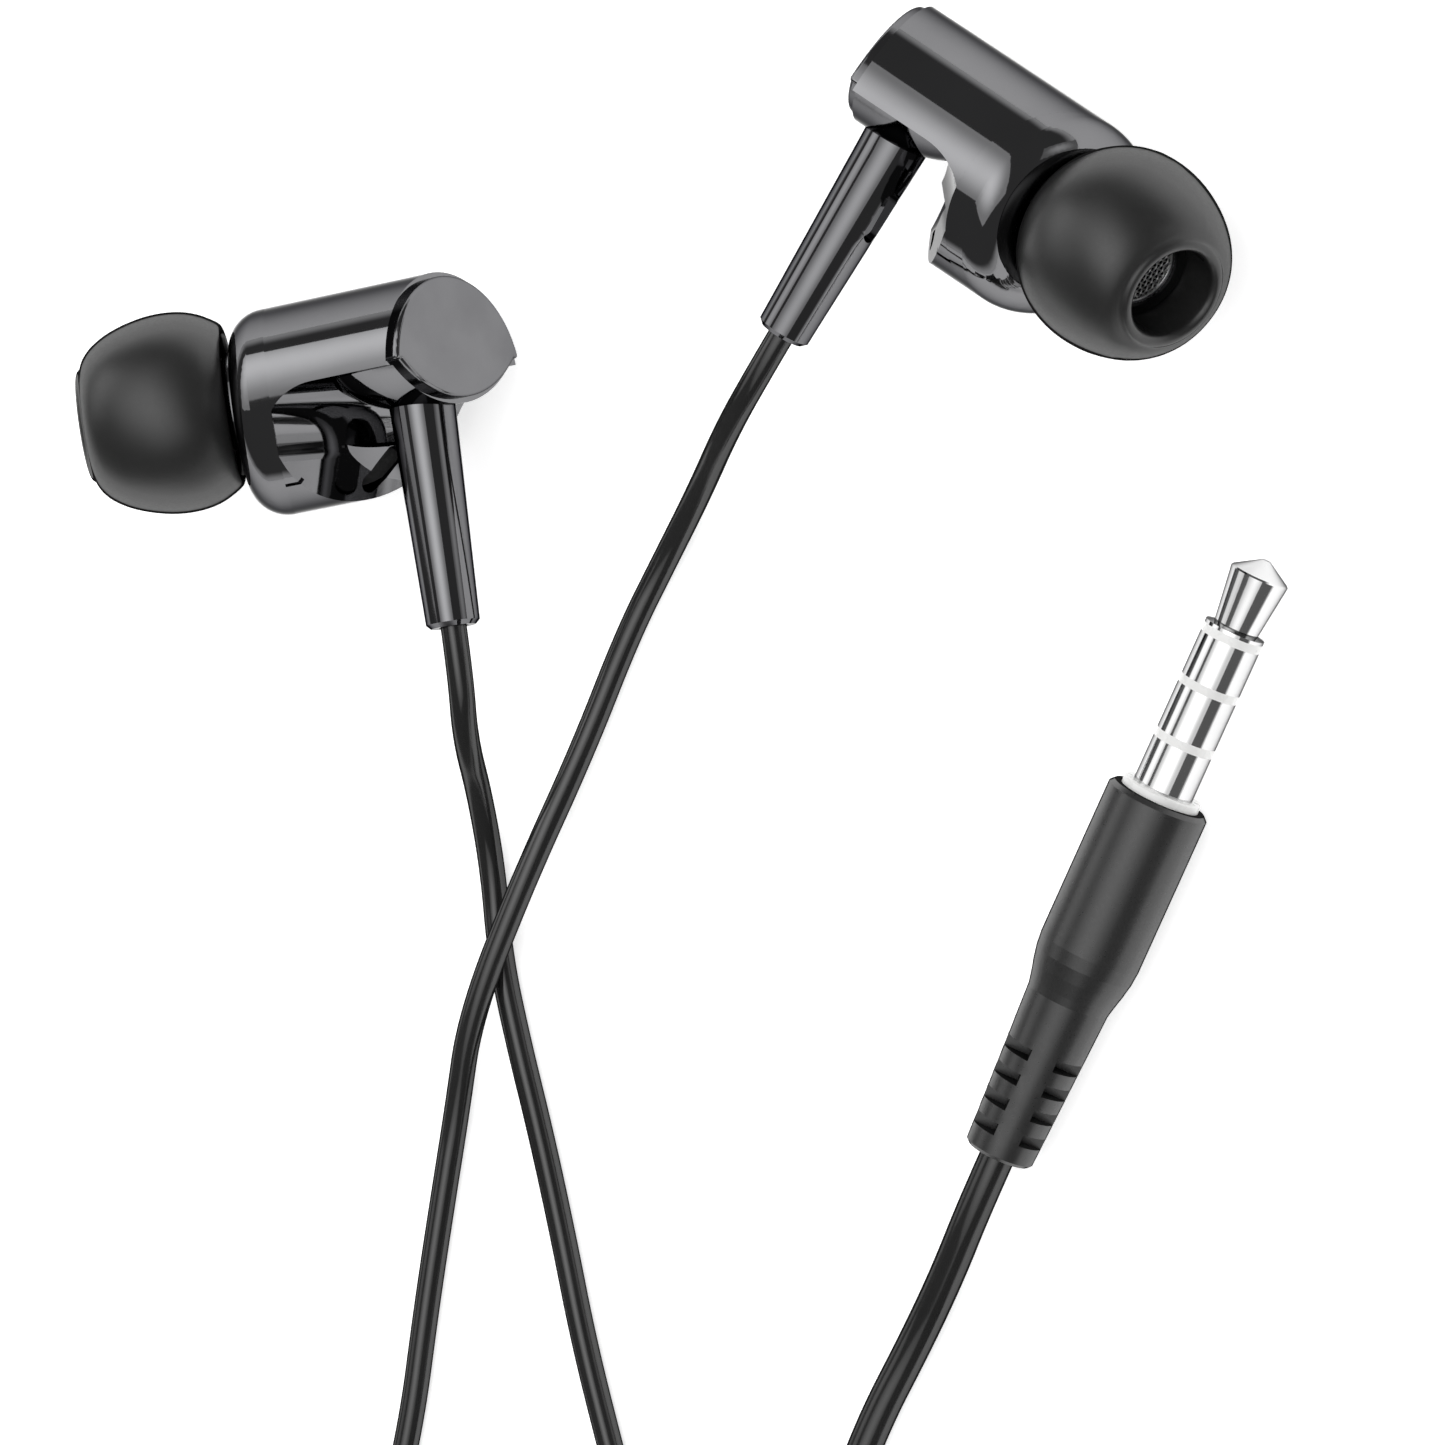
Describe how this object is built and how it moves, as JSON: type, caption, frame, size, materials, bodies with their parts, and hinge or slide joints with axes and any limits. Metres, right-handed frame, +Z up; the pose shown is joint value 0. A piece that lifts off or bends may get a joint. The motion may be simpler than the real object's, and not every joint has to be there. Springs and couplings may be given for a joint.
{
  "type": "wired earphones",
  "caption": "Wired in-ear earphones with silicone tips and long stems, an in-line remote, a cord splitter and a straight headphone plug.",
  "frame": {"origin": "on the table under the middle of the two earbuds' bounding box", "axes": "+Z up from the table; +X from the left earbud towards the right one; +Y away from the plug and the coils"},
  "size_m": [0.0722, 0.1577, 0.014],
  "materials": {
    "button_plastic": "satin",
    "circuit_board": "satin",
    "copper_wire": "satin",
    "cord_jacket": "gloss",
    "dark_cloth": "matte",
    "driver_plastic": "matte",
    "film": "satin",
    "gloss_cap": "gloss",
    "gloss_shell": "gloss",
    "gloss_stem": "gloss",
    "magnet": "gloss",
    "matte_shell": "satin",
    "plated_steel": "satin",
    "plug_chrome": "gloss",
    "plug_rubber": "satin",
    "silicone": "satin",
    "steel_mesh": "satin",
    "tie_strap": "matte",
    "white_plastic": "gloss"
  },
  "bodies": {
    "earphones": {"left_damping_cloth": "dark_cloth", "left_diaphragm": "film", "left_driver_frame": "driver_plastic", "left_driver_magnet": "magnet", "left_driver_top_plate": "plated_steel", "left_driver_yoke": "plated_steel", "left_end_cap": "gloss_cap", "left_front_shell": "gloss_shell", "left_housing": "gloss_shell", "left_lead_bud_run": "cord_jacket", "left_lead_coil": "cord_jacket", "left_lead_splitter_run": "cord_jacket", "left_lead_tie": "tie_strap", "left_nozzle_mesh": "steel_mesh", "left_stem": "gloss_stem", "left_vent_mesh": "dark_cloth", "left_voice_coil": "copper_wire", "main_cord_coil": "cord_jacket", "main_cord_plug_run": "cord_jacket", "main_cord_splitter_run": "cord_jacket", "main_cord_tie": "tie_strap", "plug_collar": "white_plastic", "plug_handle": "plug_rubber", "plug_insulator_1": "white_plastic", "plug_insulator_2": "white_plastic", "plug_insulator_3": "white_plastic", "plug_ring_contact_1": "plug_chrome", "plug_ring_contact_2": "plug_chrome", "plug_sleeve_contact": "plug_chrome", "plug_strain_relief": "plug_rubber", "plug_tip_contact": "plug_chrome", "remote_back_shell": "matte_shell", "remote_board": "circuit_board", "remote_front_shell": "matte_shell", "remote_microphone": "plated_steel", "remote_switch": "plated_steel", "right_damping_cloth": "dark_cloth", "right_diaphragm": "film", "right_driver_frame": "driver_plastic", "right_driver_magnet": "magnet", "right_driver_top_plate": "plated_steel", "right_driver_yoke": "plated_steel", "right_end_cap": "gloss_cap", "right_front_shell": "gloss_shell", "right_housing": "gloss_shell", "right_lead_bud_run": "cord_jacket", "right_lead_coil": "cord_jacket", "right_lead_remote_run": "cord_jacket", "right_lead_splitter_run": "cord_jacket", "right_lead_tie": "tie_strap", "right_nozzle_mesh": "steel_mesh", "right_stem": "gloss_stem", "right_vent_mesh": "dark_cloth", "right_voice_coil": "copper_wire", "splitter_lower_half": "matte_shell", "splitter_upper_half": "matte_shell"},
    "left_tip_body": {"left_ear_tip": "silicone"},
    "right_tip_body": {"right_ear_tip": "silicone"},
    "button_body": {"remote_button": "button_plastic"}
  },
  "joints": [
    {"name": "left_tip_slide", "type": "slide", "parent": "earphones", "child": "left_tip_body", "axis": [-0.9198, -0.144, 0.3649], "range_m": [0, 0.008]},
    {"name": "right_tip_slide", "type": "slide", "parent": "earphones", "child": "right_tip_body", "axis": [0.7559, -0.4946, 0.4289], "range_m": [0, 0.008]},
    {"name": "button_press", "type": "slide", "parent": "earphones", "child": "button_body", "axis": [0, 0, -1], "range_m": [0, 0.0003], "stiffness_N_per_m": 400, "springref_m": -0.0005}
  ]
}
